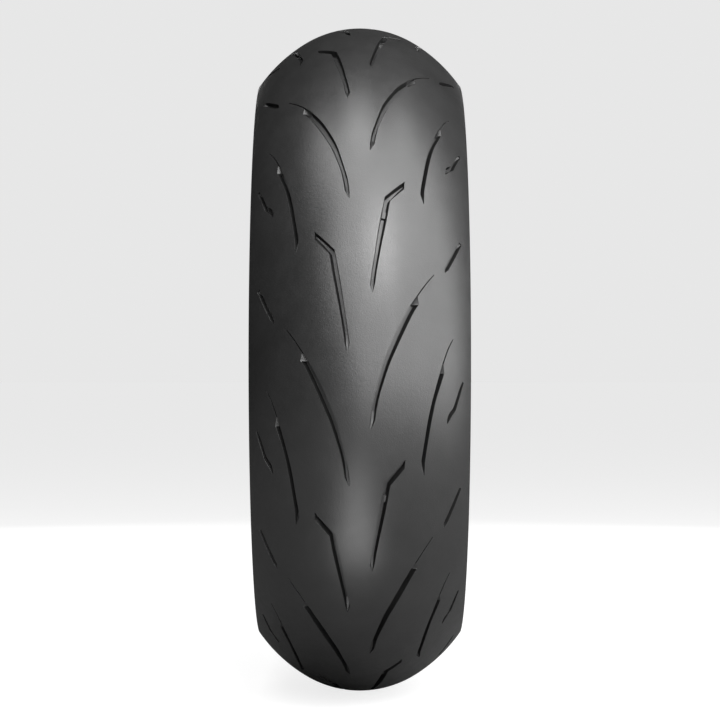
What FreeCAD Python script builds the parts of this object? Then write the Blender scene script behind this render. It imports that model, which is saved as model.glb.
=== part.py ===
"""A radial motorcycle rear tyre, 190 mm wide on a 17 inch rim, as the layers it is built up from.

The tyre turns about the Y axis and its centre is the origin. Every part is a ring about that
axis, so each is drawn as a flat section, in millimetres from the mid-plane (y) and from the
axle (r), and revolved. The section is drawn for the right half, y > 0, and mirrored.
"""

import FreeCAD, Part
import math
import os
from FreeCAD import Vector

# ---- size of the tyre, in millimetres and degrees
RIM_CODE_INCH = 17.0
SECTION_WIDTH = 190.0
ASPECT = 0.55
SEAT_R = RIM_CODE_INCH * 25.4 / 2  # bead seat radius
CROWN_R = SEAT_R + ASPECT * SECTION_WIDTH  # outside radius of the tyre at its mid-plane
HALF_WIDTH = 95.95  # mid-plane to the tread's edge
RIM_HALF_WIDTH = 152.4 / 2  # a 6.00 inch rim, between the insides of its flanges

# ---- curve of the tread across the tyre: a round crown, then a flatter shoulder
CROWN_ARC_R = 101.0
CROWN_ARC_TURN = 31.0
SHOULDER_ARC_R = 146.0
CENTRE_HALF_WIDTH = 42.0  # mid-plane to the joint between centre and shoulder rubber

# ---- thickness of the layers, from the outside in
TREAD_T = 6.5
BASE_T = 1.2
CORD_LAYER_T = 1.3
BELT_GUM_T = 0.8
PLY_T = 0.8
LINER_T = 1.0
CHAFER_T = 0.6

# ---- belt: one steel cord wound round the tyre, turn beside turn
BELT_CORD_D = 1.1
BELT_CORD_PITCH = 4.0
BELT_END_TURN = 46.0

# ---- carcass: where it leaves the tread, how it turns down, and where its turned-up end stops
CARCASS_LEAVE_TURN = 52.0
CARCASS_SHOULDER_R = 9.0
TURN_UP_RISE = 3.0
TURN_UP_BEND_R = 16.0
TURN_UP_BEND = 26.0
TURN_UP_LENGTH = 7.0
INNER_PLY_SHORTER = 3.0

# ---- bead
BEAD_CENTRE_Y = 68.4
BEAD_CENTRE_R = 224.4
WIRE_D = 1.35
WIRE_PITCH = 1.42
WIRE_ROWS = (3, 4, 5, 4, 3)
WIRE_FLATS = 8
BEAD_GUM_R = 3.6
BEAD_WRAP_R = 4.0
HEEL_RADIUS = 5.0
TOE_Y = 58.0
TOE_RISE = 1.6
SEAT_INNER_Y = 59.2
FLANGE_TOP_R = 230.0
FLARE_R = 9.0
SIDEWALL_ARC_R = 30.0
SIDEWALL_START_HEADING = 97.0
RIM_STRIP_TOP_R = 236.0
CHAFER_END_BACK = 6.0

# ---- tread pattern: one pitch of grooves on each side, repeated round the tyre
PITCHES = 8
PITCH = 360.0 / PITCHES
LEFT_SIDE_LAG = 8.9  # the left side's pattern trails the right side's by this angle
FLOOR_SHARE = 0.5  # width of a groove's floor over its width at the surface
CUTTER_ABOVE = 1.5  # how far a groove's cutter stands above the tread
DEEP = 5.2
SIPE = 1.8
WEAR_BAR = 3.6
# Each station across a groove: angle and y of its inner edge, angle and y of its outer edge, depth.
# The two at the wear bar's depth are the ends of its top.
CENTRE_GROOVE = (
    (29.20, 38.4, 27.80, 38.2, 3.8),
    (28.10, 32.8, 26.90, 33.6, DEEP),
    (25.90, 21.4, 25.50, 26.6, DEEP),
    (23.30, 18.6, 23.20, 24.1, DEEP),
    (23.10, 18.4, 23.00, 23.9, WEAR_BAR),
    (22.20, 17.6, 22.10, 23.0, WEAR_BAR),
    (22.00, 17.4, 21.90, 22.8, DEEP),
    (16.60, 12.8, 16.60, 17.3, DEEP),
    (12.60, 9.5, 12.60, 13.8, DEEP),
    (11.40, 8.6, 11.40, 12.8, 3.4),
    (10.20, 10.3, 10.20, 10.9, 0.4),
)
LONG_GROOVE = (
    (14.00, 62.8, 13.95, 63.6, 0.5),
    (12.00, 54.8, 11.95, 55.9, SIPE),
    (10.00, 47.9, 9.95, 49.0, SIPE),
    (8.70, 43.2, 8.70, 50.0, 3.4),
    (7.40, 39.3, 7.60, 46.3, DEEP),
    (4.40, 31.0, 4.60, 38.2, DEEP),
    (1.20, 23.4, 1.30, 30.0, DEEP),
    (-2.20, 17.2, -2.10, 22.6, DEEP),
    (-5.60, 12.4, -5.50, 16.9, DEEP),
    (-9.00, 8.9, -9.00, 13.0, 4.4),
    (-10.60, 8.6, -10.60, 9.2, 0.4),
)
SHOULDER_GROOVE = (
    (3.50, 79.2, 3.45, 80.0, 0.5),
    (1.60, 74.6, 1.55, 75.5, SIPE),
    (-0.70, 70.2, -0.75, 71.2, SIPE),
    (-2.30, 67.9, -2.40, 71.9, 3.2),
    (-3.70, 65.8, -3.70, 69.7, DEEP),
    (-6.60, 61.5, -6.70, 65.0, DEEP),
    (-9.80, 57.9, -9.90, 61.3, DEEP),
    (-13.00, 55.0, -13.10, 58.4, DEEP),
    (-16.30, 52.4, -16.40, 55.9, 4.4),
    (-17.60, 52.4, -17.60, 55.2, 2.8),
    (-18.90, 54.3, -18.90, 54.9, 0.4),
)
BENT_EDGE_GROOVE = (
    (-3.90, 88.2, -4.10, 89.2, 0.8),
    (-6.00, 84.4, -6.10, 86.2, 2.6),
    (-7.80, 81.4, -8.00, 83.0, 3.2),
    (-8.60, 79.6, -9.00, 81.4, 3.2),
    (-9.40, 76.3, -9.70, 78.4, 3.0),
    (-10.70, 74.4, -10.70, 75.2, 0.4),
)
STRAIGHT_EDGE_GROOVE = (
    (21.30, 86.6, 21.10, 87.7, 0.8),
    (18.60, 79.8, 18.30, 81.6, 3.0),
    (16.30, 73.8, 16.00, 75.8, 3.0),
    (14.90, 72.7, 14.90, 73.3, 0.4),
)
GROOVES = (CENTRE_GROOVE, LONG_GROOVE, SHOULDER_GROOVE, BENT_EDGE_GROOVE, STRAIGHT_EDGE_GROOVE)

# the layers that are made once for each side of the tyre
SIDE_LAYERS = (
    "belt_edge_cushion",
    "sidewall",
    "rim_strip",
    "chafer",
    "bead_filler",
    "bead_wrap",
    "bead_gum",
)

AXIS = Vector(0, 1, 0)
ORIGIN = Vector(0, 0, 0)
MID_PLANE = Vector(0, 1, 0)
FAR = 400.0  # further out than any part of the tyre


def point(y, r):
    """A point of the section, which is drawn in the plane z = 0 with r along X."""
    return Vector(r, y, 0)


def sin(degrees):
    return math.sin(math.radians(degrees))


def cos(degrees):
    return math.cos(math.radians(degrees))


# ---- lines across the section, made of tangent arcs and straight runs
class Line:
    """A smooth line in the section. A heading is in degrees clockwise from +y, so 90 points at
    the axle. A positive turn bends towards the right of the way it goes, which is inwards."""

    def __init__(self, y, r, heading, runs):
        self.y, self.r, self.heading, self.runs = y, r, heading, list(runs)

    def pieces(self, offset):
        """(kind, start, middle, end) of each run, moved by offset to the left of the line."""
        y, r, h = self.y, self.r, self.heading
        found = []
        for kind, size, turn in self.runs:
            if kind == "straight":
                y2, r2, h2 = y + size * cos(h), r - size * sin(h), h
                middle = None
            else:
                side = 1 if turn > 0 else -1
                cy, cr = y - side * size * sin(h), r - side * size * cos(h)
                h2 = h + turn
                radius = size + side * offset
                hm = h + turn / 2
                middle = point(cy + side * radius * sin(hm), cr + side * radius * cos(hm))
                y2, r2 = cy + side * size * sin(h2), cr + side * size * cos(h2)
            start = point(y + offset * sin(h), r + offset * cos(h))
            end = point(y2 + offset * sin(h2), r2 + offset * cos(h2))
            found.append((kind, start, middle, end))
            y, r, h = y2, r2, h2
        return found

    def edges(self, offset):
        made = []
        for kind, start, middle, end in self.pieces(offset):
            if kind == "straight":
                made.append(Part.LineSegment(start, end).toShape())
            else:
                made.append(Part.Arc(start, middle, end).toShape())
        return made

    def ends(self, offset):
        found = self.pieces(offset)
        return found[0][1], found[-1][3]

    def length(self):
        return sum(s if k == "straight" else s * math.radians(abs(t)) for k, s, t in self.runs)

    def part(self, start, stop):
        """The stretch of the line between two lengths along it."""
        y, r, h = self.y, self.r, self.heading
        gone, kept, first = 0.0, [], None
        for kind, size, turn in self.runs:
            long = size if kind == "straight" else size * math.radians(abs(turn))
            a, b = max(start - gone, 0.0), min(stop - gone, long)
            if b - a > 1e-6:
                lead = Line(y, r, h, [shorten(kind, size, turn, a / long)])
                if first is None:
                    first = lead.tip() if a > 1e-9 else (y, r, h)
                kept.append(shorten(kind, size, turn, (b - a) / long))
            y, r, h = Line(y, r, h, [(kind, size, turn)]).tip()
            gone += long
        return Line(*first, kept)

    def tip(self):
        """(y, r, heading) at the end of the line."""
        end = self.pieces(0)[-1][3]
        return end.y, end.x, self.heading + sum(t for k, s, t in self.runs if k == "arc")


def shorten(kind, size, turn, share):
    return (kind, size * share, 0) if kind == "straight" else (kind, size, turn * share)


def joined(edges):
    return Part.Face(Part.Wire(Part.__sortEdges__(edges)))


def strip(line, low, high):
    """The layer between two offsets of a line."""
    a0, a1 = line.ends(low)
    b0, b1 = line.ends(high)
    caps = [Part.LineSegment(a0, b0).toShape(), Part.LineSegment(a1, b1).toShape()]
    return joined(line.edges(low) + line.edges(high) + caps)


def polygon(points):
    return Part.Face(Part.makePolygon([point(*p) for p in points] + [point(*points[0])]))


def disc(y, r, radius):
    return Part.Face(Part.Wire(Part.Circle(point(y, r), Vector(0, 0, 1), radius).toShape()))


def without(face, *others):
    """face with the others cut out of it, as one face or its largest piece."""
    left = face.cut(list(others))
    return max(left.Faces, key=lambda f: f.Area)


def tangent_between(y1, r1, radius1, y2, r2, radius2):
    """Heading and length of the straight run from a right-hand bend to a left-hand bend."""
    dy, dr = y2 - y1, r2 - r1
    apart = math.hypot(dy, dr)
    toward = math.degrees(math.atan2(-dr, dy))
    lean = math.degrees(math.asin((radius1 + radius2) / apart))
    return toward + lean, math.sqrt(apart**2 - (radius1 + radius2) ** 2)


# ---- the lines that the layers follow
def tread_line():
    """The outside of the tread, from the mid-plane to its edge."""
    crown_y = CROWN_ARC_R * sin(CROWN_ARC_TURN)
    edge_turn = math.degrees(math.asin(sin(CROWN_ARC_TURN) + (HALF_WIDTH - crown_y) / SHOULDER_ARC_R))
    runs = [("arc", CROWN_ARC_R, CROWN_ARC_TURN), ("arc", SHOULDER_ARC_R, edge_turn - CROWN_ARC_TURN)]
    return Line(0, CROWN_R, 0, runs)


PLY_JOINT_DEPTH = TREAD_T + BASE_T + CORD_LAYER_T + BELT_GUM_T + PLY_T
BEAD_LOOP_R = BEAD_WRAP_R + PLY_T


def carcass_line():
    """The joint between the two plies: under the tread, down the sidewall, round the bead and up."""
    under_tread = [
        ("arc", CROWN_ARC_R - PLY_JOINT_DEPTH, CROWN_ARC_TURN),
        ("arc", SHOULDER_ARC_R - PLY_JOINT_DEPTH, CARCASS_LEAVE_TURN - CROWN_ARC_TURN),
    ]
    y, r, h = Line(0, CROWN_R - PLY_JOINT_DEPTH, 0, under_tread).tip()
    centre_y, centre_r = y - CARCASS_SHOULDER_R * sin(h), r - CARCASS_SHOULDER_R * cos(h)
    down, long = tangent_between(
        centre_y, centre_r, CARCASS_SHOULDER_R, BEAD_CENTRE_Y, BEAD_CENTRE_R, BEAD_LOOP_R
    )
    runs = under_tread + [
        ("arc", CARCASS_SHOULDER_R, down - CARCASS_LEAVE_TURN),
        ("straight", long, 0),
        ("arc", BEAD_LOOP_R, -(down + 90)),
        ("straight", TURN_UP_RISE, 0),
        ("arc", TURN_UP_BEND_R, TURN_UP_BEND),
        ("straight", TURN_UP_LENGTH, 0),
    ]
    return Line(0, CROWN_R - PLY_JOINT_DEPTH, 0, runs)


def sidewall_line():
    """The outside of the sidewall, from the tread's edge to the top of the rim flange."""
    y, r, _ = tread_line().tip()
    h = SIDEWALL_START_HEADING
    centre_y, centre_r = y - SIDEWALL_ARC_R * sin(h), r - SIDEWALL_ARC_R * cos(h)
    down, long = tangent_between(
        centre_y, centre_r, SIDEWALL_ARC_R, RIM_HALF_WIDTH + FLARE_R, FLANGE_TOP_R, FLARE_R
    )
    runs = [("arc", SIDEWALL_ARC_R, down - h), ("straight", long, 0), ("arc", FLARE_R, 90 - down)]
    return Line(y, r, h, runs)


TREAD_LINE = tread_line()
CARCASS = carcass_line()
# length along the carcass to where it meets the bead
BEAD_START = Line(CARCASS.y, CARCASS.r, CARCASS.heading, CARCASS.runs[:4]).length()


def length_to_turn(line, turn):
    """Length along a line to where it has turned through an angle, within its first two arcs."""
    (_, r1, t1), (_, r2, _) = line.runs[:2]
    first = min(turn, t1)
    return r1 * math.radians(first) + r2 * math.radians(turn - first)


def half_section():
    """The whole right half of the tyre's section, as one face."""
    outer = TREAD_LINE.edges(0) + sidewall_line().edges(0)
    heel_r, heel_y = SEAT_R + HEEL_RADIUS, RIM_HALF_WIDTH - HEEL_RADIUS
    diagonal = HEEL_RADIUS * math.sqrt(0.5)
    inner = CARCASS.part(0, BEAD_START)
    inside = -(PLY_T + LINER_T)
    liner_start, liner_end = inner.ends(inside)
    edges = outer + [
        Part.LineSegment(point(RIM_HALF_WIDTH, FLANGE_TOP_R), point(RIM_HALF_WIDTH, heel_r)).toShape(),
        Part.Arc(
            point(RIM_HALF_WIDTH, heel_r),
            point(heel_y + diagonal, heel_r - diagonal),
            point(heel_y, SEAT_R),
        ).toShape(),
        Part.LineSegment(point(heel_y, SEAT_R), point(SEAT_INNER_Y, SEAT_R)).toShape(),
        Part.LineSegment(point(SEAT_INNER_Y, SEAT_R), point(TOE_Y, SEAT_R + TOE_RISE)).toShape(),
        Part.LineSegment(point(TOE_Y, SEAT_R + TOE_RISE), liner_end).toShape(),
        Part.LineSegment(liner_start, point(0, CROWN_R)).toShape(),
    ]
    return joined(edges + inner.edges(inside))


def half_sections():
    """Every layer's right half, by name."""
    whole = half_section()
    tread_end = TREAD_LINE.length()
    leave = CARCASS.length() - INNER_PLY_SHORTER
    outer_ply = strip(CARCASS, 0, PLY_T)
    inner_ply = strip(CARCASS.part(0, leave), -PLY_T, 0)
    liner = strip(CARCASS.part(0, BEAD_START), -PLY_T - LINER_T, -PLY_T)
    chafer = strip(
        CARCASS.part(BEAD_START, CARCASS.length() - CHAFER_END_BACK), -PLY_T - CHAFER_T, -PLY_T
    )
    tread = strip(TREAD_LINE, -TREAD_T, 0)
    base = strip(TREAD_LINE, -TREAD_T - BASE_T, -TREAD_T)
    belt_end = length_to_turn(TREAD_LINE, BELT_END_TURN)
    gum_top = -TREAD_T - BASE_T - CORD_LAYER_T
    belt = strip(TREAD_LINE.part(0, belt_end), gum_top - BELT_GUM_T, gum_top + CORD_LAYER_T)
    cushion_deep = strip(TREAD_LINE.part(belt_end, tread_end), gum_top - BELT_GUM_T - 4, -TREAD_T - BASE_T)
    wrap_outer = disc(BEAD_CENTRE_Y, BEAD_CENTRE_R, BEAD_WRAP_R)
    gum = disc(BEAD_CENTRE_Y, BEAD_CENTRE_R, BEAD_GUM_R)
    wires = [wire_section(y, r, WIRE_D) for y, r in bead_wire_places()]
    carcass = [outer_ply, inner_ply, liner]
    cushion = without(cushion_deep, *carcass)
    filler = without(bead_filler_room(), outer_ply, wrap_outer)
    centre_side = polygon([(0, 0), (CENTRE_HALF_WIDTH, 0), (CENTRE_HALF_WIDTH, FAR), (0, FAR)])
    rest = whole.cut([tread, base, belt, cushion, chafer, wrap_outer, filler] + carcass)
    low = polygon([(0, 0), (FAR, 0), (FAR, RIM_STRIP_TOP_R), (0, RIM_STRIP_TOP_R)])
    return {
        "tread_centre": largest(tread.common(centre_side)),
        "tread_shoulder": without(tread, centre_side),
        "tread_base": base,
        "belt_gum": belt,
        "belt_edge_cushion": cushion,
        "carcass_ply_outer": outer_ply,
        "carcass_ply_inner": inner_ply,
        "inner_liner": liner,
        "sidewall": largest(rest.cut(low)),
        "rim_strip": largest(rest.common(low)),
        "chafer": chafer,
        "bead_wrap": without(wrap_outer, gum),
        "bead_gum": without(gum, *wires),
        "bead_filler": filler,
    }


def wire_section(y, r, diameter):
    """Section of one turn of a steel wire or cord: a circle drawn with eight flats."""
    corners = [360 / WIRE_FLATS * (n + 0.5) for n in range(WIRE_FLATS)]
    reach = diameter / 2
    return polygon([(y + reach * sin(a), r + reach * cos(a)) for a in corners])


def largest(shape):
    return max(shape.Faces, key=lambda f: f.Area)


def bead_filler_room():
    """A face that covers the gap above the bead, between the ply going down and its turned-up end."""
    up = CARCASS.part(BEAD_START + BEAD_LOOP_R * math.radians(100), CARCASS.length())
    down = CARCASS.part(BEAD_START - TURN_UP_LENGTH * 2.6, BEAD_START)
    down_start, down_end = down.ends(PLY_T / 2)
    up_start, up_end = up.ends(PLY_T / 2)
    edges = down.edges(PLY_T / 2) + up.edges(PLY_T / 2)
    edges.append(Part.LineSegment(down_end, up_start).toShape())
    edges.append(Part.LineSegment(up_end, down_start).toShape())
    return joined(edges)


# ---- solids
def turned(face):
    return face.revolve(ORIGIN, AXIS, 360)


def mirrored(shape):
    return shape.mirror(ORIGIN, MID_PLANE)


def both_halves(face):
    """One face of the right half's section and its mirror image."""
    right = [e for e in face.OuterWire.Edges if e.BoundBox.YMax > 1e-4]
    return joined(right + [mirrored(e) for e in right])


def full_width(face):
    """A ring whose section is the right half and its mirror image, as one solid."""
    return turned(both_halves(face)).removeSplitter()


def belt_cord_places():
    """(y, r) of each turn of the belt's steel cord, side by side across the belt."""
    depth = TREAD_T + BASE_T + CORD_LAYER_T / 2
    half = length_to_turn(TREAD_LINE, BELT_END_TURN) - BELT_CORD_PITCH / 2
    places = [(0.0, CROWN_R - depth)]
    for n in range(1, int(half / BELT_CORD_PITCH) + 1):
        y, r, h = TREAD_LINE.part(0, n * BELT_CORD_PITCH).tip()
        y, r = y - depth * sin(h), r - depth * cos(h)
        places += [(y, r), (-y, r)]
    return places


def bead_wire_places():
    """(y, r) of each turn of the bead wire, stacked in a six-sided bundle."""
    rise = WIRE_PITCH * sin(60)
    places = []
    for row, count in enumerate(WIRE_ROWS):
        r = BEAD_CENTRE_R + (row - (len(WIRE_ROWS) - 1) / 2) * rise
        places += [(BEAD_CENTRE_Y + (n - (count - 1) / 2) * WIRE_PITCH, r) for n in range(count)]
    return places


# ---- grooves
def tread_surface(y):
    """Radius of the tread's outside and the lean of its normal, at a distance from the mid-plane."""
    crown_y = CROWN_ARC_R * sin(CROWN_ARC_TURN)
    if abs(y) <= crown_y:
        turn = math.asin(abs(y) / CROWN_ARC_R)
        return CROWN_R - CROWN_ARC_R * (1 - math.cos(turn)), turn
    turn = math.asin(sin(CROWN_ARC_TURN) + (abs(y) - crown_y) / SHOULDER_ARC_R)
    crown_r = CROWN_R - CROWN_ARC_R * (1 - cos(CROWN_ARC_TURN))
    return crown_r - SHOULDER_ARC_R * (cos(CROWN_ARC_TURN) - math.cos(turn)), turn


def on_tread(angle, y, depth):
    """A point at a depth under the tread, at an angle round the tyre."""
    r, turn = tread_surface(y)
    r_deep = r - depth * math.cos(turn)
    y_deep = y - depth * math.sin(turn) * (1 if y > 0 else -1)
    return Vector(r_deep * cos(angle), y_deep, r_deep * sin(angle))


def groove_ring(station):
    """Four corners of a groove's cutter at a station: two above the tread and two on its floor."""
    angle1, y1, angle2, y2, depth = station
    inset = (1 - FLOOR_SHARE) / 2
    widen = inset * CUTTER_ABOVE / max(depth, CUTTER_ABOVE)

    def across(share, level):
        angle = angle1 + (angle2 - angle1) * share
        return on_tread(angle, y1 + (y2 - y1) * share, level)

    return [
        across(-widen, -CUTTER_ABOVE),
        across(1 + widen, -CUTTER_ABOVE),
        across(1 - inset, depth),
        across(inset, depth),
    ]


def flat_face(a, b, c):
    return Part.Face(Part.makePolygon([a, b, c, a]))


def groove_cutter(stations):
    """A closed solid of flat faces through the stations' corners."""
    rings = [groove_ring(s) for s in stations]
    faces = []
    for before, after in zip(rings, rings[1:]):
        for n in range(4):
            m = (n + 1) % 4
            faces.append(flat_face(before[n], before[m], after[m]))
            faces.append(flat_face(before[n], after[m], after[n]))
    for a, b, c, d in (rings[0], rings[-1]):
        faces.append(flat_face(a, b, c))
        faces.append(flat_face(a, c, d))
    solid = Part.makeSolid(Part.makeShell(faces))
    if solid.Volume < 0:
        solid.reverse()
    return solid


def groove_cutters():
    """Every groove of the tread: the right side's pattern and its mirror image, round the tyre."""
    right = [groove_cutter(g) for g in GROOVES]
    left = [mirrored(c) for c in right]
    for c in left:
        c.rotate(ORIGIN, AXIS, LEFT_SIDE_LAG)
    cutters = []
    for n in range(PITCHES):
        for c in right + left:
            turned_on = c.copy()
            turned_on.rotate(ORIGIN, AXIS, n * PITCH)
            cutters.append(turned_on)
    return cutters


def cut_near(ring, cutters):
    """The ring with the grooves that reach it cut out."""
    low, high = ring.BoundBox.YMin, ring.BoundBox.YMax
    return ring.cut([c for c in cutters if c.BoundBox.YMax > low and c.BoundBox.YMin < high])


def build():
    halves = half_sections()
    cutters = groove_cutters()
    parts = {"tread_centre": cut_near(full_width(halves["tread_centre"]), cutters)}
    for name in ("tread_base", "carcass_ply_outer", "carcass_ply_inner", "inner_liner"):
        parts[name] = full_width(halves[name])
    cords = [wire_section(y, r, BELT_CORD_D) for y, r in belt_cord_places()]
    parts["belt_cord"] = Part.makeCompound([turned(c) for c in cords])
    parts["belt_gum"] = turned(without(both_halves(halves["belt_gum"]), *cords))
    shoulder = turned(halves["tread_shoulder"])
    parts["tread_shoulder_right"] = cut_near(shoulder, cutters)
    parts["tread_shoulder_left"] = cut_near(mirrored(shoulder), cutters)
    core = Part.makeCompound([turned(wire_section(y, r, WIRE_D)) for y, r in bead_wire_places()])
    parts["bead_core_right"] = core
    parts["bead_core_left"] = mirrored(core)
    for name in SIDE_LAYERS:
        solid = turned(halves[name])
        parts[name + "_right"] = solid
        parts[name + "_left"] = mirrored(solid)
    return parts


def main():
    os.makedirs("parts", exist_ok=True)
    for name, shape in sorted(build().items()):
        shape.exportStep(f"parts/{name}.step")
        print(f"{name:26s} {len(shape.Solids):3d} solids {shape.Volume / 1000:9.2f} cm3")


main()
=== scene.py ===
"""Looks of the motorcycle tyre: a finely meshed tread with its grooves, sidewalls, beads and liner.

Lengths in the shape functions are millimetres; they become metres as a mesh is made. A section
point is (y, r): distance from the tyre's mid-plane and from its axis, which is the Y axis.
"""

import math

import bmesh
import bpy
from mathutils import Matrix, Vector
from mathutils.geometry import delaunay_2d_cdt


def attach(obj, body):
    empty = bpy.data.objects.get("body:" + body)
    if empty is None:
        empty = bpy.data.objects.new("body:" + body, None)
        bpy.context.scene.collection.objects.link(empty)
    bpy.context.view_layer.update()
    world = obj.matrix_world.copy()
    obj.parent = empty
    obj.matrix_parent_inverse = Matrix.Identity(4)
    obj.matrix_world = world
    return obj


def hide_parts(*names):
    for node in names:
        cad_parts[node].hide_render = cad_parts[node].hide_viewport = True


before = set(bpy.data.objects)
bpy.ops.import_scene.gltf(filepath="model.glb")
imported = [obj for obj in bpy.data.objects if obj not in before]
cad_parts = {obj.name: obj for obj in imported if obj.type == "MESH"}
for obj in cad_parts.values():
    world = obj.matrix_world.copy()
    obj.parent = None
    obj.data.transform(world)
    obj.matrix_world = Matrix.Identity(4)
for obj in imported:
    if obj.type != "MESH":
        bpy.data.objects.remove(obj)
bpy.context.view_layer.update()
MM = 0.001

# ---- sizes shared with the CAD part
CROWN_R = 320.4
HALF_WIDTH = 95.95
CROWN_ARC_R, CROWN_ARC_TURN = 101.0, math.radians(31.0)
SHOULDER_ARC_R = 146.0
CENTRE_HALF_WIDTH = 42.0
TREAD_T = 6.5
SEAT_R = 215.9
RIM_HALF_WIDTH = 76.2
PITCHES = 8
PITCH = 360.0 / PITCHES
LEFT_SIDE_LAG = 8.9
STEPS = 64  # mesh steps round the tyre in one pitch, along the tread's joints
STEP = PITCH / STEPS
STRIP_TOP = (78.474, 236.0)  # where the sidewall and the rim strip meet outside

CROWN_ARC_Y = CROWN_ARC_R * math.sin(CROWN_ARC_TURN)
CROWN_ARC_LONG = CROWN_ARC_R * CROWN_ARC_TURN
SHOULDER_ARC_TOP = CROWN_R - CROWN_ARC_R * (1 - math.cos(CROWN_ARC_TURN))
EDGE_TURN = math.asin(math.sin(CROWN_ARC_TURN) + (HALF_WIDTH - CROWN_ARC_Y) / SHOULDER_ARC_R)
HALF_LONG = CROWN_ARC_LONG + SHOULDER_ARC_R * (EDGE_TURN - CROWN_ARC_TURN)


# ---- the tread's surface, flattened: s round the tyre at the crown, t across it from the mid-plane
def turn_at(t):
    """Lean of the tread's normal at a length t from the mid-plane, across the tread."""
    if t <= CROWN_ARC_LONG:
        return t / CROWN_ARC_R
    return CROWN_ARC_TURN + (t - CROWN_ARC_LONG) / SHOULDER_ARC_R


def section_at(t, depth=0.0):
    """(y, r) at a depth under the tread."""
    a = turn_at(t)
    if t <= CROWN_ARC_LONG:
        y, r = CROWN_ARC_R * math.sin(a), CROWN_R - CROWN_ARC_R * (1 - math.cos(a))
    else:
        y = CROWN_ARC_Y + SHOULDER_ARC_R * (math.sin(a) - math.sin(CROWN_ARC_TURN))
        r = SHOULDER_ARC_TOP - SHOULDER_ARC_R * (math.cos(CROWN_ARC_TURN) - math.cos(a))
    return y - depth * math.sin(a), r - depth * math.cos(a)


def t_at(y):
    """Length across the tread to a distance y from the mid-plane."""
    if y <= CROWN_ARC_Y:
        return CROWN_ARC_R * math.asin(y / CROWN_ARC_R)
    a = math.asin(math.sin(CROWN_ARC_TURN) + (y - CROWN_ARC_Y) / SHOULDER_ARC_R)
    return CROWN_ARC_LONG + SHOULDER_ARC_R * (a - CROWN_ARC_TURN)


def flat(angle, y):
    return math.radians(angle) * CROWN_R, t_at(y)


def lift(s, t, depth, side):
    """The 3-D point over a flattened one, on the right (side 1) or the left (side -1)."""
    y, r = section_at(t, depth)
    a = s / CROWN_R
    return Vector((r * math.cos(a), side * y, r * math.sin(a)))


# ---- grooves of one pitch, right side. A row is angle and y of the inner edge and of the outer
# edge. "bend" marks a row where the edges turn sharply. Depths go by the angle of the inner edge.
GROOVES = {
    "centre": {
        "rows": (
            (29.26, 38.6, 27.74, 37.9),
            (28.20, 33.1, 27.05, 34.5),
            (27.15, 27.7, 26.30, 31.0),
            (25.90, 21.3, 25.30, 26.1, "bend"),
            (24.60, 20.0, 24.30, 25.0),
            (22.90, 18.2, 22.75, 23.7),
            (19.94, 15.4, 20.00, 20.9),
            (16.90, 13.0, 16.90, 17.6),
            (13.70, 10.3, 13.66, 14.5),
            (11.40, 8.6, 11.47, 12.8, "bend"),
            (10.15, 10.4, 10.15, 10.9),
        ),
        "depths": ((29.3, 3.6), (26.6, 5.8), (12.6, 5.8), (10.1, 0.5)),
        "wear_bar": ((23.7, 5.8), (23.55, 3.4), (22.45, 3.4), (22.3, 5.8)),
        "point": (29.3, 25.9),
    },
    "long": {
        "rows": (
            (14.00, 62.7, 13.95, 63.5),
            (12.00, 54.9, 11.95, 55.9),
            (10.00, 47.9, 9.95, 48.9, "bend"),
            (8.67, 43.2, 8.71, 50.2, "bend"),
            (7.60, 40.1, 7.70, 46.6),
            (6.10, 35.6, 6.15, 42.3),
            (4.50, 31.2, 4.48, 38.0),
            (2.85, 27.3, 2.84, 33.8),
            (1.15, 23.3, 1.15, 29.6),
            (-0.60, 19.7, -0.60, 25.4),
            (-2.80, 16.4, -2.79, 21.2),
            (-5.20, 13.0, -5.20, 17.0),
            (-7.10, 10.4, -7.10, 14.7),
            (-9.20, 8.8, -9.30, 12.8, "bend"),
            (-10.60, 8.6, -10.60, 9.3),
        ),
        "depths": ((14.0, 0.5), (13.0, 1.6), (10.0, 2.0), (8.6, 5.8), (-7.9, 5.8), (-10.6, 0.5)),
        "ramp": (9.98, 8.6),
    },
    "shoulder": {
        "rows": (
            (3.53, 79.2, 3.48, 80.0),
            (1.60, 74.5, 1.55, 75.4),
            (-0.75, 70.2, -0.80, 71.2, "bend"),
            (-2.14, 68.1, -2.33, 72.0, "bend"),
            (-3.40, 66.2, -3.45, 70.2),
            (-6.60, 61.6, -6.63, 64.9),
            (-9.80, 57.8, -9.84, 61.3),
            (-13.00, 55.1, -13.07, 58.4),
            (-16.20, 52.5, -16.33, 55.8),
            (-17.40, 52.0, -17.60, 55.4, "bend"),
            (-18.94, 54.5, -18.94, 55.1),
        ),
        "depths": ((3.5, 0.5), (2.6, 1.5), (-0.8, 2.0), (-2.2, 5.6), (-16.0, 5.6), (-18.9, 0.5)),
        "ramp": (-0.77, -2.2),
    },
    "bent_edge": {
        "rows": (
            (-3.93, 88.0, -4.23, 89.3),
            (-5.60, 84.7, -5.70, 87.2),
            (-7.60, 81.4, -7.79, 84.0),
            (-8.50, 79.5, -8.95, 82.3, "bend"),
            (-9.20, 76.3, -9.85, 78.8),
            (-10.20, 74.6, -10.60, 76.3, "bend"),
            (-10.90, 74.5, -10.95, 75.1),
        ),
        "depths": ((-3.9, 1.2), (-4.9, 4.2), (-9.9, 4.2), (-10.9, 0.5)),
    },
    "straight_edge": {
        "rows": (
            (21.40, 86.4, 21.00, 88.1),
            (19.70, 82.3, 19.35, 85.0),
            (18.00, 78.3, 17.65, 81.4),
            (15.95, 73.1, 15.50, 76.3, "bend"),
            (14.85, 72.4, 14.80, 73.3),
        ),
        "depths": ((21.4, 1.2), (20.6, 4.2), (16.0, 4.2), (14.8, 0.5)),
    },
}
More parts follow.
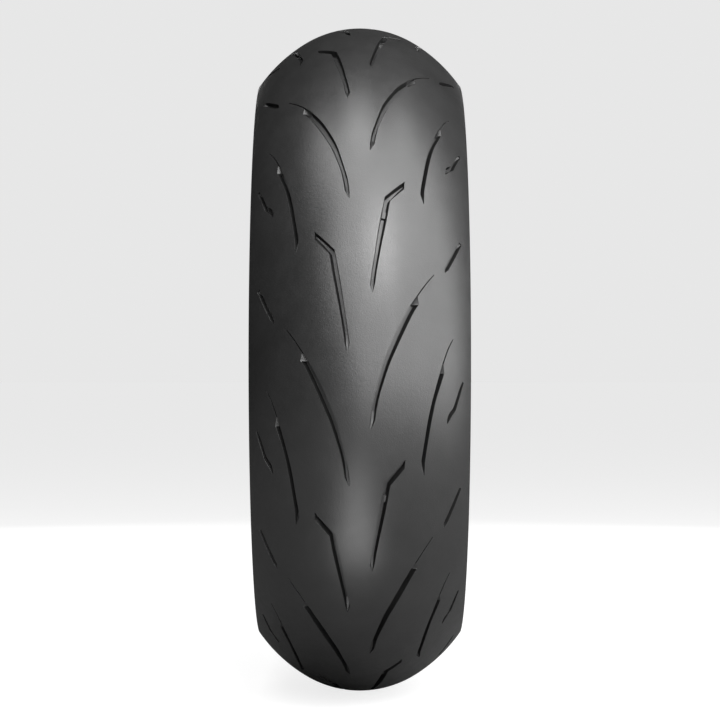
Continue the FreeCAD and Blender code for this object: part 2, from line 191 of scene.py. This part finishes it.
# across a groove, from its inner edge: share of its width, share of its depth
PROFILE = ((0, 0), (0.02, 0.08), (0.14, 0.84), (0.18, 0.94), (0.25, 1.0), (0.5, 1.0),
           (0.75, 1.0), (0.82, 0.94), (0.86, 0.84), (0.98, 0.08), (1, 0))
# the same across a ramp, which falls from the outer edge to a wall under the inner one
RAMP = ((0, 0), (0.03, 0.50), (0.07, 0.92), (0.10, 0.98), (0.14, 0.96), (0.36, 0.72),
        (0.58, 0.47), (0.72, 0.31), (0.82, 0.20), (0.92, 0.09), (1, 0))
# the faces of these wall strips get the near-black rubber further on: painted shade inside the grooves
WALLS = (1, 2, 7, 8)  # strips of the profile that are walls
POINT_NARROWING = 0.75  # share of its floor's width that the centre groove loses at its point
RAMP_END = 0.12  # degrees past a ramp at which its foot is a row of its own
GAP = 1.3  # spacing of mesh rows along a groove
LEAST_GAP = 0.15  # least spacing of an added row from its neighbours
GRID = 4.6  # spacing of the tread's free mesh points
CLEAR = 1.7  # least distance of a free point from an edge
BIN = 4  # side of the squares that the edge points are sorted into
FIRST_CELL = -13.4  # angle at which a pitch's cell starts at the mid-plane

# what a face of the tread is
SURFACE, GROOVE_FLOOR, GROOVE_END, SHELL, GROOVE_WALL = range(5)


def spline(points, gap):
    """Points along a smooth curve through the given ones, about gap apart."""
    if len(points) < 2:
        return list(points)
    ends = [points[0] * 2 - points[1]] + list(points) + [points[-1] * 2 - points[-2]]
    found = []
    for p0, p1, p2, p3 in zip(ends, ends[1:], ends[2:], ends[3:]):
        lead = max((p2 - p1).to_2d().length, (p2.zw - p1.zw).length)
        count = max(1, round(lead / gap))
        for n in range(count):
            u = n / count
            found.append(
                (p1 * 2 + (p2 - p0) * u + (p0 * 2 - p1 * 5 + p2 * 4 - p3) * u**2
                 + (p1 * 3 - p0 - p2 * 3 + p3) * u**3) / 2
            )
    return found + [points[-1]]


def depth_at(depths, angle):
    """Depth between the listed (angle, depth) pairs, whose angles fall."""
    for (a1, d1), (a2, d2) in zip(depths, depths[1:]):
        if angle >= a2:
            share = min(max((a1 - angle) / (a1 - a2), 0), 1)
            return d1 + (d2 - d1) * share
    return depths[-1][1]


def groove_rows(groove, side):
    """[(inner edge, outer edge, depth, profile)] down the groove, edges as flattened points."""
    depths = groove["depths"]
    if side > 0:
        depths = sorted(depths + groove.get("wear_bar", ()), reverse=True)
    ramp, point = groove.get("ramp"), groove.get("point")
    marks = [angle for angle, _ in depths[1:-1]] + ([ramp[1] - RAMP_END] if ramp else [])
    runs, run = [], []
    for row in groove["rows"]:
        corner = Vector((*flat(*row[:2]), *flat(*row[2:4])))
        run.append(corner)
        if len(row) == 5:
            runs.append(run)
            run = [corner]
    runs.append(run)
    smooth = [spline(r, GAP) for r in runs]
    points = smooth[0] + [p for r in smooth[1:] for p in r[1:]]
    for angle in marks:
        s = math.radians(angle) * CROWN_R
        for n, (a, b) in enumerate(zip(points, points[1:])):
            if a.x > s > b.x and min(a.x - s, s - b.x) > LEAST_GAP:
                points.insert(n + 1, a.lerp(b, (a.x - s) / (a.x - b.x)))
                break
    found = []
    for p in points:
        angle = math.degrees(p.x / CROWN_R)
        profile = RAMP if ramp and ramp[0] >= angle >= ramp[1] - 1e-6 else PROFILE
        if point and angle > point[1]:
            narrow = 1 - POINT_NARROWING * (angle - point[1]) / (point[0] - point[1])
            profile = [(0.5 + (x - 0.5) * narrow if deep > 0.5 else x, deep) for x, deep in PROFILE]
        found.append((Vector(p.xy), Vector(p.zw), depth_at(depths, angle), profile))
    return found


def crosses(p, a, b):
    """Whether the line from a to b passes p on the side of growing first coordinate."""
    return (a[1] > p[1]) != (b[1] > p[1]) and p[0] < (b[0] - a[0]) * (p[1] - a[1]) / (b[1] - a[1]) + a[0]


def inside(p, loop):
    """Whether a flattened point is inside a closed loop."""
    return sum(crosses(p, a, b) for a, b in zip(loop, loop[1:] + loop[:1])) % 2 == 1


def bin_of(p):
    return int(p[0] // BIN), int(p[1] // BIN)


def cell_edge(first_step):
    """One end of a pitch's cell: a line from mid-plane to tread edge that misses every groove."""
    start = first_step * STEP
    corners = [flat(start, 0), flat(start, 43.0), flat(start - 13 * STEP, 52.0)]
    corners.append((corners[2][0], HALF_LONG))
    points = []
    for (s1, t1), (s2, t2) in zip(corners, corners[1:]):
        count = max(1, round(math.hypot(s2 - s1, t2 - t1) / GRID))
        points += [(s1 + (s2 - s1) * n / count, t1 + (t2 - t1) * n / count) for n in range(count)]
    return points + [corners[3]]


def pitch_mesh(side):
    """(points, faces, face kinds) of one pitch of a side: the tread's surface and its grooves."""
    lag = LEFT_SIDE_LAG if side < 0 else 0.0
    shift = Vector((-math.radians(lag) * CROWN_R, 0))
    grooves = []
    for groove in GROOVES.values():
        grooves.append([(a + shift, b + shift, *rest) for a, b, *rest in groove_rows(groove, side)])
    loops = [[row[0] for row in g] + [row[1] for row in reversed(g)] for g in grooves]
    first = round((FIRST_CELL - lag) / STEP)
    left = cell_edge(first)
    far = math.radians(PITCH) * CROWN_R
    foot = [(math.radians((first + n) * STEP) * CROWN_R, 0) for n in range(1, STEPS)]
    top = [(left[-1][0] + far * n / STEPS, HALF_LONG) for n in range(STEPS - 1, 0, -1)]
    edge = left[::-1] + foot + [(s + far, t) for s, t in left] + top
    loops_xy = [[(p.x, p.y) for p in loop] for loop in loops]
    rim = [p for loop in loops_xy for p in loop] + edge
    near = {}
    for p in rim:
        near.setdefault(bin_of(p), []).append(p)
    free = []
    rows = int(HALF_LONG / GRID)
    for j in range(1, rows + 1):
        t = HALF_LONG * j / (rows + 1)
        for i in range(-44, int(far / GRID) + 60):  # wider than the cell on both sides
            p = ((i + 0.5 * (j % 2)) * GRID, t)
            if not inside(p, edge) or any(inside(p, loop) for loop in loops_xy):
                continue
            ci, cj = bin_of(p)
            close = (q for u in (-1, 0, 1) for v in (-1, 0, 1) for q in near.get((ci + u, cj + v), ()))
            if all(math.hypot(p[0] - q[0], p[1] - q[1]) > CLEAR for q in close):
                free.append(p)
    flats, lines = [], []
    for loop in [edge] + loops_xy:
        base = len(flats)
        flats += loop
        lines += [(base + n, base + (n + 1) % len(loop)) for n in range(len(loop))]
    made, _, faces, *_ = delaunay_2d_cdt([Vector(p) for p in flats + free], lines, [], 1, 1e-4, False)
    points = [lift(p.x, p.y, 0, side) for p in made]
    solid, kinds = [], []
    for f in faces:
        middle = sum((made[i] for i in f), Vector((0, 0))) / len(f)
        if inside(middle, edge) and not any(inside(middle, loop) for loop in loops_xy):
            solid.append(list(f))
            kinds.append(SURFACE)
    for rows in grooves:
        base = len(points)
        wide = len(PROFILE)
        for a, b, depth, profile in rows:
            for share, deep in profile:
                p = a.lerp(b, share)
                points.append(lift(p.x, p.y, depth * deep, side))
        for n in range(len(rows) - 1):
            for m in range(wide - 1):
                i = base + n * wide + m
                solid.append([i, i + wide, i + wide + 1, i + 1])
                is_wall = m in WALLS and rows[n + 1][3] is not RAMP
                kinds.append(GROOVE_WALL if is_wall else GROOVE_FLOOR)
        for n in (0, len(rows) - 1):
            solid.append([base + n * wide + m for m in range(wide)])
            kinds.append(GROOVE_END)
    return points, solid, kinds


def surface_normal(p):
    """The tread's own normal at a point on its surface, in millimetres."""
    y = abs(p.y)
    a = turn_at(t_at(min(y, HALF_WIDTH)))
    turn = math.atan2(p.z, p.x)
    across = math.copysign(math.sin(a), p.y) if y > 1e-6 else 0.0
    return Vector((math.cos(a) * math.cos(turn), across, math.cos(a) * math.sin(turn)))


def tread_bmesh():
    """The whole closed tread: grooved outside, both edges and the inside, in millimetres."""
    bm = bmesh.new()
    kind = bm.faces.layers.int.new("kind")
    for side in (1, -1):
        points, faces, kinds = pitch_mesh(side)
        for n in range(PITCHES):
            a = math.radians(n * PITCH)
            c, s = math.cos(a), math.sin(a)
            verts = [bm.verts.new((p.x * c - p.z * s, p.y, p.x * s + p.z * c)) for p in points]
            for f, k in zip(faces, kinds):
                made = bm.faces.new([verts[i] for i in f])
                made[kind] = k
    bmesh.ops.remove_doubles(bm, verts=bm.verts, dist=2e-3)
    hem = [e for e in bm.edges if e.is_boundary]
    deep = []
    for share in (1.0, 0.72, 0.45, 0.22, 0.0):
        deep.append(section_at(HALF_LONG * share, TREAD_T))
    ring_profile = deep + [(-y, r) for y, r in deep[-2::-1]]
    rims = {1: {}, -1: {}}
    for v in {v for e in hem for v in e.verts}:
        rims[1 if v.co.y > 0 else -1][round(math.atan2(v.co.z, v.co.x), 5)] = v
    angles = {side: sorted(rims[side]) for side in rims}
    count = len(angles[1])
    rings = []
    for y, r in ring_profile:
        rings.append([bm.verts.new((r * math.cos(a), y, r * math.sin(a))) for a in angles[1]])
    shell = [[rims[1][a] for a in angles[1]]] + rings
    for low, high in zip(shell, shell[1:]):
        for i in range(count):
            j = (i + 1) % count
            bm.faces.new([low[i], low[j], high[j], high[i]])[kind] = SHELL
    last = [rims[-1][a] for a in angles[-1]]
    bridge(bm, rings[-1], last, kind)
    bmesh.ops.recalc_face_normals(bm, faces=bm.faces)
    return bm


def bridge(bm, one, other, layer):
    """Triangles between two rings of points that are at different angles."""
    def angle_of(v):
        return math.atan2(v.co.z, v.co.x)

    one, other = sorted(one, key=angle_of), sorted(other, key=angle_of)
    i = j = 0
    while i < len(one) or j < len(other):
        a, b = one[i % len(one)], other[j % len(other)]
        a2, b2 = one[(i + 1) % len(one)], other[(j + 1) % len(other)]
        step_a = angle_of(a2) + (2 * math.pi if i + 1 >= len(one) else 0)
        step_b = angle_of(b2) + (2 * math.pi if j + 1 >= len(other) else 0)
        if j >= len(other) or (i < len(one) and step_a <= step_b):
            bm.faces.new([a, a2, b])[layer] = SHELL
            i += 1
        else:
            bm.faces.new([a, b2, b])[layer] = SHELL
            j += 1


# ---- pieces
def to_object(bm, name, normals_from=None, sharp=32.0):
    """A smooth-shaded object from a bmesh in millimetres."""
    mesh = bpy.data.meshes.new(name)
    kinds = None
    layer = bm.faces.layers.int.get("kind")
    if layer is not None:
        bm.faces.ensure_lookup_table()
        kinds = [f[layer] for f in bm.faces]
    own = []
    if normals_from:
        for f, k in zip(bm.faces, kinds):
            for loop in f.loops:
                own.append(normals_from(loop.vert.co) if k == SURFACE else Vector((0, 0, 0)))
    bmesh.ops.scale(bm, vec=(MM, MM, MM), verts=bm.verts)
    bm.to_mesh(mesh)
    bm.free()
    mesh.shade_smooth()
    mesh.set_sharp_from_angle(angle=math.radians(sharp))
    if own:
        mesh.normals_split_custom_set(own)
    obj = bpy.data.objects.new(name, mesh)
    bpy.context.scene.collection.objects.link(obj)
    return obj, kinds


def placed(obj, material_slot, *nodes):
    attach(obj, "root")
    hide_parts(*nodes)
    return obj


def cap(bm, rim, layer):
    """Fills the flat area between the loops of a cut across the axis with triangles."""
    bm.verts.index_update()
    verts = sorted({v for e in rim for v in e.verts}, key=lambda v: v.index)
    place = {v: n for n, v in enumerate(verts)}
    lines = [(place[e.verts[0]], place[e.verts[1]]) for e in rim]
    spots = [Vector((v.co.z, v.co.x)) for v in verts]
    walls = [(spots[a], spots[b]) for a, b in lines]
    made, _, faces, origin, *_ = delaunay_2d_cdt(spots, lines, [], 1, 1e-6, True)
    for f in faces:
        middle = sum((made[i] for i in f), Vector((0, 0))) / len(f)
        if sum(crosses(middle, a, b) for a, b in walls) % 2:
            bm.faces.new([verts[origin[i][0]] for i in f])[layer] = SHELL


def slice_of(whole, low, high):
    """The part of a closed mesh between two planes across the axis, closed again."""
    bm = whole.copy()
    layer = bm.faces.layers.int.get("kind")
    for y, way in ((low, -1), (high, 1)):
        if abs(y) > HALF_WIDTH:
            continue
        geom = list(bm.verts) + list(bm.edges) + list(bm.faces)
        cut = bmesh.ops.bisect_plane(bm, geom=geom, dist=1e-4, plane_co=(0, y, 0), plane_no=(0, way, 0),
                                     clear_outer=True)
        cap(bm, [e for e in cut["geom_cut"] if isinstance(e, bmesh.types.BMEdge)], layer)
    bmesh.ops.recalc_face_normals(bm, faces=bm.faces)
    return bm


def arc(cy, cr, radius, start, stop, count):
    """Points on an arc of the section, by the heading of its normal, 0 away from the axle."""
    found = []
    for n in range(count + 1):
        a = math.radians(start + (stop - start) * n / count)
        found.append((cy + radius * math.sin(a), cr + radius * math.cos(a)))
    return found


def ring(name, profile, side, steps=360, height=None):
    """A closed ring turned from a closed profile. height(n, m, y, r) moves point m of step n."""
    bm = bmesh.new()
    loops = []
    for n in range(steps):
        a = 2 * math.pi * n / steps
        loop = []
        for m, (y, r) in enumerate(profile):
            if height:
                y, r = height(n, m, y, r)
            loop.append(bm.verts.new((r * math.cos(a), side * y, r * math.sin(a))))
        loops.append(loop)
    for n in range(steps):
        one, two = loops[n], loops[(n + 1) % steps]
        for m in range(len(profile)):
            k = (m + 1) % len(profile)
            bm.faces.new([one[m], two[m], two[k], one[k]])
    bmesh.ops.recalc_face_normals(bm, faces=bm.faces)
    return to_object(bm, name)[0]


# outside of the sidewall: centre, radius and headings of its upper arc, then a straight run down to
# the rim strip's flare, which is given by its centre and radius
UPPER = (66.174, 268.896, 30.0, 97.0, 128.19)
STRAIGHT_STEPS = 22
FLARE = (85.2, 230.0, 9.0)
# features of the sidewall: radius, half its width, height
EDGE_STEP = (262.9, 1.6, -0.35)
RIM_LINE = (238.6, 0.75, 0.55)
BAND = (245.5, 254.6)  # radii between which the ribbed band lies
RIBS = 360  # fine radial ribs of the band
RIB_HEIGHT = 0.35


def sidewall(side, name):
    """Sidewall with a fine ribbed band, a step under the tread's edge and a raised line by the rim."""
    upper = arc(*UPPER, 16)
    y0, r0 = upper[-1]
    y1, r1 = STRIP_TOP
    shares = [n / STRAIGHT_STEPS for n in range(1, STRAIGHT_STEPS + 1)]
    outer = upper + [(y0 + (y1 - y0) * share, r0 + (r1 - r0) * share) for share in shares]
    back = [(77.6, 236.0), (78.4, 240.6), (84.4, 252.8), (86.6, 258.6), (85.4, 262.4), (90.60, 260.85)]
    raised = {}
    for m, (_, r) in enumerate(outer):
        for middle_r, half_width, rise in (EDGE_STEP, RIM_LINE):
            if abs(r - middle_r) < half_width:
                raised[m] = rise
    band = {m for m, (_, r) in enumerate(outer) if BAND[0] < r < BAND[1]}

    def height(n, m, y, r):
        lift_by = raised.get(m, 0.0)
        if m in band and m - 1 in band and m + 1 in band and n % 4 in (1, 2):
            lift_by += RIB_HEIGHT
        if not lift_by:
            return y, r
        # the surface leans as on the straight run below, and as on the upper arc above
        lean = math.radians(128 if r < 250 else 97 + (265.2 - r) * 2.1)
        return y + lift_by * math.sin(lean), r + lift_by * math.cos(lean)

    return ring(name, outer + back, side, steps=RIBS * 4, height=height)


def rim_strip(side, name):
    """Rubber that seats on the rim: flare, flange face, heel, base and toe, round the chafer."""
    flare = [(FLARE[0] - (y - FLARE[0]), FLARE[1] - (r - FLARE[1]))
             for y, r in arc(*FLARE, 126.0, 90.0, 10)]
    heel = arc(71.2, 220.9, 5.0, 90.0, 180.0, 10)
    base = [(y, SEAT_R) for y in (68.2, 65.2, 62.2, 59.2)] + [(58.3, 216.4), (58.0, 217.5)]
    inner = [(59.7, 221.2), (61.3, 224.6), (62.0, 227.3), (63.1, 228.3)]
    under = arc(68.4, 224.4, 6.2, 305.0, 90.0, 24)
    up = [(74.6, 227.4), (75.1, 231.2), (76.2, 234.2), (77.3, 236.0)]
    profile = [STRIP_TOP] + flare + [(RIM_HALF_WIDTH, 225.4)] + heel + base + inner + under + up
    return ring(name, profile, side, steps=360)


# the liner's run down to the bead: its direction and its length
DOWN_Y, DOWN_R, DOWN_LENGTH = -0.5919, -0.8060, 32.355
DOWN_STEPS = 8
LINER_DEPTHS = (1.8, 0.8)  # the liner's two faces, under the outside of the plies' path


def liner(name):
    """Airtight liner, from bead to bead."""
    def half(inset):
        crown = arc(0, 219.4, 90.4 - inset, 0, 31.0, 18)
        shoulder = arc(-23.176, 180.826, 135.4 - inset, 31.0, 52.0, 14)[1:]
        turn = arc(76.43, 258.65, 9.0 - inset, 52.0, 126.29, 14)[1:]
        y, r = turn[-1]
        run = [DOWN_LENGTH * n / DOWN_STEPS for n in range(1, DOWN_STEPS + 1)]
        return crown + shoulder + turn + [(y + DOWN_Y * d, r + DOWN_R * d) for d in run]

    inside_half, outside_half = half(LINER_DEPTHS[0]), half(LINER_DEPTHS[1])
    profile = [(-y, r) for y, r in inside_half[:0:-1]] + inside_half
    profile += outside_half[::-1] + [(-y, r) for y, r in outside_half[1:]]
    return ring(name, profile, 1, steps=360)


# ---- materials
RING_GAP = 0.0011  # metres between the turned rings of the sidewall and the rim strip


def nodes_of(name):
    material = bpy.data.materials.new(name)
    material.use_nodes = True
    tree = material.node_tree
    shader = tree.nodes["Principled BSDF"]
    return material, tree, shader


def add(tree, kind, **settings):
    node = tree.nodes.new(kind)
    for key, value in settings.items():
        if hasattr(node, key):
            setattr(node, key, value)
        else:
            node.inputs[key.replace("_", " ")].default_value = value
    return node


def noise(tree, coordinates, scale, detail=3.0, roughness=0.55):
    node = add(tree, "ShaderNodeTexNoise", Scale=scale, Detail=detail, Roughness=roughness)
    tree.links.new(coordinates, node.inputs["Vector"])
    return node.outputs["Fac"]


def blend(tree, factor, low, high, start=0.3, stop=0.7):
    """A colour ramp between two greys or colours, driven by a texture."""
    ramp = add(tree, "ShaderNodeValToRGB")
    for element, place, tint in zip(ramp.color_ramp.elements, (start, stop), (low, high)):
        element.position = place
        element.color = (*tint, 1) if isinstance(tint, tuple) else (tint, tint, tint, 1)
    tree.links.new(factor, ramp.inputs["Fac"])
    return ramp.outputs["Color"]


def rubber(name, dark, light, rough, grain=0.06, rings=0.0, specular=0.85):
    """Moulded rubber: mottled near-black, uneven roughness, fine grain, and turned rings if asked."""
    material, tree, shader = nodes_of(name)
    links = tree.links
    place = add(tree, "ShaderNodeTexCoord").outputs["Object"]
    links.new(blend(tree, noise(tree, place, 38.0, 5.0), dark, light), shader.inputs["Base Color"])
    uneven = blend(tree, noise(tree, place, 160.0, 4.0), rough[0], rough[1])
    links.new(uneven, shader.inputs["Roughness"])
    fine = noise(tree, place, 1150.0, 2.0, 0.6)
    coarse = noise(tree, place, 420.0, 2.0, 0.5)
    mix = add(tree, "ShaderNodeMath", operation="MULTIPLY_ADD")
    mix.inputs[1].default_value = 0.6
    links.new(coarse, mix.inputs[0])
    links.new(fine, mix.inputs[2])
    bump = add(tree, "ShaderNodeBump", Strength=grain, Distance=0.0006)
    links.new(mix.outputs[0], bump.inputs["Height"])
    last = bump
    if rings:
        split = add(tree, "ShaderNodeSeparateXYZ")
        links.new(place, split.inputs[0])
        flat_place = add(tree, "ShaderNodeCombineXYZ")
        links.new(split.outputs["X"], flat_place.inputs["X"])
        links.new(split.outputs["Z"], flat_place.inputs["Z"])
        radius = add(tree, "ShaderNodeVectorMath", operation="LENGTH")
        links.new(flat_place.outputs[0], radius.inputs[0])
        wave = add(tree, "ShaderNodeMath", operation="SINE")
        scaled = add(tree, "ShaderNodeMath", operation="MULTIPLY")
        scaled.inputs[1].default_value = 2 * math.pi / RING_GAP
        links.new(radius.outputs["Value"], scaled.inputs[0])
        links.new(scaled.outputs[0], wave.inputs[0])
        lines = add(tree, "ShaderNodeBump", Strength=rings, Distance=0.0002)
        links.new(wave.outputs[0], lines.inputs["Height"])
        links.new(bump.outputs[0], lines.inputs["Normal"])
        last = lines
    links.new(last.outputs[0], shader.inputs["Normal"])
    shader.inputs["Specular IOR Level"].default_value = specular
    return material


def fabric(name, thread, gap, spacing):
    """Cords side by side in rubber, or a woven tape: stripes across the tyre and fine fibre noise."""
    material, tree, shader = nodes_of(name)
    links = tree.links
    place = add(tree, "ShaderNodeTexCoord").outputs["Object"]
    stripes = add(tree, "ShaderNodeTexWave", wave_type="BANDS", bands_direction="DIAGONAL")
    stripes.inputs["Scale"].default_value = 1 / spacing / 20
    stripes.inputs["Distortion"].default_value = 1.5
    links.new(place, stripes.inputs["Vector"])
    links.new(blend(tree, stripes.outputs["Fac"], gap, thread, 0.25, 0.6), shader.inputs["Base Color"])
    links.new(blend(tree, noise(tree, place, 500.0), 0.65, 0.9), shader.inputs["Roughness"])
    bump = add(tree, "ShaderNodeBump", Strength=0.5, Distance=0.0004)
    links.new(stripes.outputs["Fac"], bump.inputs["Height"])
    links.new(bump.outputs[0], shader.inputs["Normal"])
    return material


def plated_wire(name, low, high):
    """Drawn steel wire with a thin plating: streaky colour and roughness."""
    material, tree, shader = nodes_of(name)
    links = tree.links
    place = add(tree, "ShaderNodeTexCoord").outputs["Object"]
    links.new(blend(tree, noise(tree, place, 220.0, 4.0), low, high), shader.inputs["Base Color"])
    links.new(blend(tree, noise(tree, place, 900.0), 0.25, 0.45), shader.inputs["Roughness"])
    shader.inputs["Metallic"].default_value = 1.0
    bump = add(tree, "ShaderNodeBump", Strength=0.15, Distance=0.0002)
    links.new(noise(tree, place, 1600.0), bump.inputs["Height"])
    links.new(bump.outputs[0], shader.inputs["Normal"])
    return material


def paint(obj, *materials):
    obj.data.materials.clear()
    for m in materials:
        obj.data.materials.append(m)


# groove walls and groove ends: the tread rubber made near-black and less glossy, painted shade for the
# shadow inside the grooves
WALL_PAINTED_SHADE = rubber("groove_wall_painted_shade", 0.003, 0.006, (0.55, 0.65), grain=0.05, specular=0.35)
TREAD = rubber("tread_rubber", 0.014, 0.019, (0.34, 0.40), grain=0.24)
GROOVE = rubber("groove_rubber", 0.012, 0.018, (0.42, 0.52), grain=0.10)
SIDE = rubber("sidewall_rubber", 0.018, 0.028, (0.42, 0.56), grain=0.10, rings=0.05)
STRIP = rubber("rim_strip_rubber", 0.017, 0.026, (0.36, 0.50), grain=0.07, rings=0.12)
LINER = rubber("liner_rubber", 0.020, 0.034, (0.34, 0.52), grain=0.10)
INNER = rubber("inner_rubber", 0.022, 0.040, (0.55, 0.75), grain=0.12)
HARD = rubber("filler_rubber", 0.024, 0.038, (0.45, 0.60), grain=0.08)
PLY = fabric("ply_fabric", (0.34, 0.28, 0.18), (0.05, 0.045, 0.04), 0.0012)
CHAFER = fabric("chafer_fabric", (0.17, 0.16, 0.15), (0.03, 0.03, 0.03), 0.0009)
TAPE = fabric("wrap_fabric", (0.26, 0.24, 0.20), (0.06, 0.05, 0.05), 0.0010)
CORD = plated_wire("belt_cord_steel", (0.62, 0.50, 0.30), (0.74, 0.62, 0.40))
WIRE = plated_wire("bead_wire_steel", (0.55, 0.40, 0.28), (0.70, 0.54, 0.40))

HIDDEN = {
    "tread_base": INNER, "belt_gum": INNER, "belt_cord": CORD, "belt_edge_cushion": INNER,
    "carcass_ply_outer": PLY, "carcass_ply_inner": PLY, "chafer": CHAFER, "bead_core": WIRE,
    "bead_gum": INNER, "bead_wrap": TAPE, "bead_filler": HARD,
}

# ---- build
tread = tread_bmesh()
BEYOND = 200.0  # past the tread's edge, so no cut is made there
spans = {
    "tread_shoulder_left": (-BEYOND, -CENTRE_HALF_WIDTH),
    "tread_centre": (-CENTRE_HALF_WIDTH, CENTRE_HALF_WIDTH),
    "tread_shoulder_right": (CENTRE_HALF_WIDTH, BEYOND),
}
for node, (low, high) in spans.items():
    obj, kinds = to_object(slice_of(tread, low, high), node + "_rubber", surface_normal)
    # slot 2, on groove walls and groove ends, is the near-black painted-shade rubber
    paint(obj, TREAD, GROOVE, WALL_PAINTED_SHADE)
    for polygon, k in zip(obj.data.polygons, kinds):
        polygon.material_index = {GROOVE_FLOOR: 1, GROOVE_END: 2, GROOVE_WALL: 2}.get(k, 0)
    placed(obj, "tread_rubber" if node == "tread_centre" else "shoulder_rubber", node)
tread.free()

for side, word in ((1, "right"), (-1, "left")):
    wall = placed(sidewall(side, f"sidewall_{word}_rubber"), "sidewall_rubber", f"sidewall_{word}")
    paint(wall, SIDE)
    strip = placed(rim_strip(side, f"rim_strip_{word}_rubber"), "strip_rubber", f"rim_strip_{word}")
    paint(strip, STRIP)
inner = placed(liner("inner_liner_rubber"), "liner_rubber", "inner_liner")
paint(inner, LINER)

for node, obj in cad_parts.items():
    base = node.removesuffix("_left").removesuffix("_right")
    if base in HIDDEN:
        paint(obj, HIDDEN[base])

# ---- floor, light and camera
PALE = 0.8  # brightness of the room and of the far floor
REACH = 30.0  # half the floor's side, in metres
floor_mesh = bpy.data.meshes.new("floor")
corners = [(-REACH, -REACH, 0), (REACH, -REACH, 0), (REACH, REACH, 0), (-REACH, REACH, 0)]
floor_mesh.from_pydata(corners, [], [(0, 1, 2, 3)])
floor = bpy.data.objects.new("floor", floor_mesh)
floor.location.z = -CROWN_R * MM
bpy.context.scene.collection.objects.link(floor)
pale, pale_tree, pale_shader = nodes_of("pale_floor")
pale_shader.inputs["Base Color"].default_value = (0.35, 0.35, 0.35, 1)
pale_shader.inputs["Roughness"].default_value = 0.9
pale_shader.inputs["Specular IOR Level"].default_value = 0.1
paint(floor, pale)


def by_camera_ray(tree, output, for_camera, for_others):
    """Shows one shader to the camera directly and lights the scene with another."""
    either = add(tree, "ShaderNodeMixShader")
    tree.links.new(add(tree, "ShaderNodeLightPath").outputs["Is Camera Ray"], either.inputs[0])
    tree.links.new(for_others, either.inputs[1])
    tree.links.new(for_camera, either.inputs[2])
    tree.links.new(either.outputs[0], tree.nodes[output].inputs["Surface"])


# the pale floor glows a little to the camera alone, so it meets the pale room without a line, and
# it throws little light back up at the tyre
bounce = add(pale_tree, "ShaderNodeBsdfDiffuse", Color=(0.16, 0.16, 0.16, 1))
glow = add(pale_tree, "ShaderNodeEmission", Strength=PALE)
both = add(pale_tree, "ShaderNodeAddShader")
pale_tree.links.new(glow.outputs[0], both.inputs[0])
pale_tree.links.new(pale_shader.outputs[0], both.inputs[1])
by_camera_ray(pale_tree, "Material Output", both.outputs[0], bounce.outputs[0])

world = bpy.data.worlds.new("studio")
bpy.context.scene.world = world
world.use_nodes = True
sky = world.node_tree
room = sky.nodes["Background"]
room.inputs["Color"].default_value = (1, 1, 1, 1)
room.inputs["Strength"].default_value = 0.015
seen = add(sky, "ShaderNodeBackground", Strength=PALE)
seen.inputs["Color"].default_value = (1, 1, 1, 1)
by_camera_ray(sky, "World Output", seen.outputs[0], room.outputs[0])


def softbox(name, place, turn, size, power):
    """An area light that the camera doesn't see."""
    lamp = bpy.data.lights.new(name, "AREA")
    lamp.shape, lamp.size, lamp.size_y, lamp.energy = "RECTANGLE", size[0], size[1], power
    obj = bpy.data.objects.new(name, lamp)
    obj.location, obj.rotation_euler = place, turn
    obj.visible_camera = False
    bpy.context.scene.collection.objects.link(obj)


LIGHT_DISTANCE = 2.2
LIGHT_SIZE = 0.62
# Rows of equal softboxes: degrees up, degrees to the right of the first and the last, how many,
# watts each. The rows at the front right are the soft key; the last one stands behind the tyre.
ROWS = (
    (-6, 8, 80, 4, 9.0),
    (10, 0, 80, 4, 5.5),
    (26, -16, 80, 5, 6.0),
    (42, -16, 80, 5, 5.5),
    (60, -60, 80, 5, 5.5),
    (78, 0, 0, 1, 9.5),
    (34, 22, 22, 1, 13.0),
    (10, 160, 200, 2, 7.0),
)


def around(distance, to_right, up):
    """A place seen from the tyre: degrees to the right of the camera's side, degrees up."""
    a, e = math.radians(to_right), math.radians(up)
    level = distance * math.cos(e)
    return (level * math.cos(a), level * math.sin(a), distance * math.sin(e))


for row, (up, first, last, count, power) in enumerate(ROWS, 1):
    for n in range(count):
        to_right = first + (last - first) * n / max(count - 1, 1)
        place = around(LIGHT_DISTANCE, to_right, up)
        facing = (-Vector(place)).to_track_quat("-Z", "Y").to_euler()
        softbox(f"softbox_{row}_{n + 1}", place, facing, (LIGHT_SIZE, LIGHT_SIZE), power)

# a narrow light lying on the floor just ahead of the tyre, for the underside of the tread
underlight_place = (0.47, -0.01, -CROWN_R * MM + 0.002)
softbox("underlight", underlight_place, (math.radians(180), 0, 0), (0.30, 0.13), 0.30)

camera = bpy.data.cameras.new("camera")
camera.sensor_width, camera.lens = 36.0, 114.6
camera.shift_x, camera.shift_y = 0.0003, -0.00064
camera_obj = bpy.data.objects.new("camera", camera)
camera_obj.location = (2.2408, 0, 0)
camera_obj.rotation_euler = (math.radians(90), 0, math.radians(90))
bpy.context.scene.collection.objects.link(camera_obj)
bpy.context.scene.camera = camera_obj
bpy.context.scene.view_settings.view_transform = "Standard"
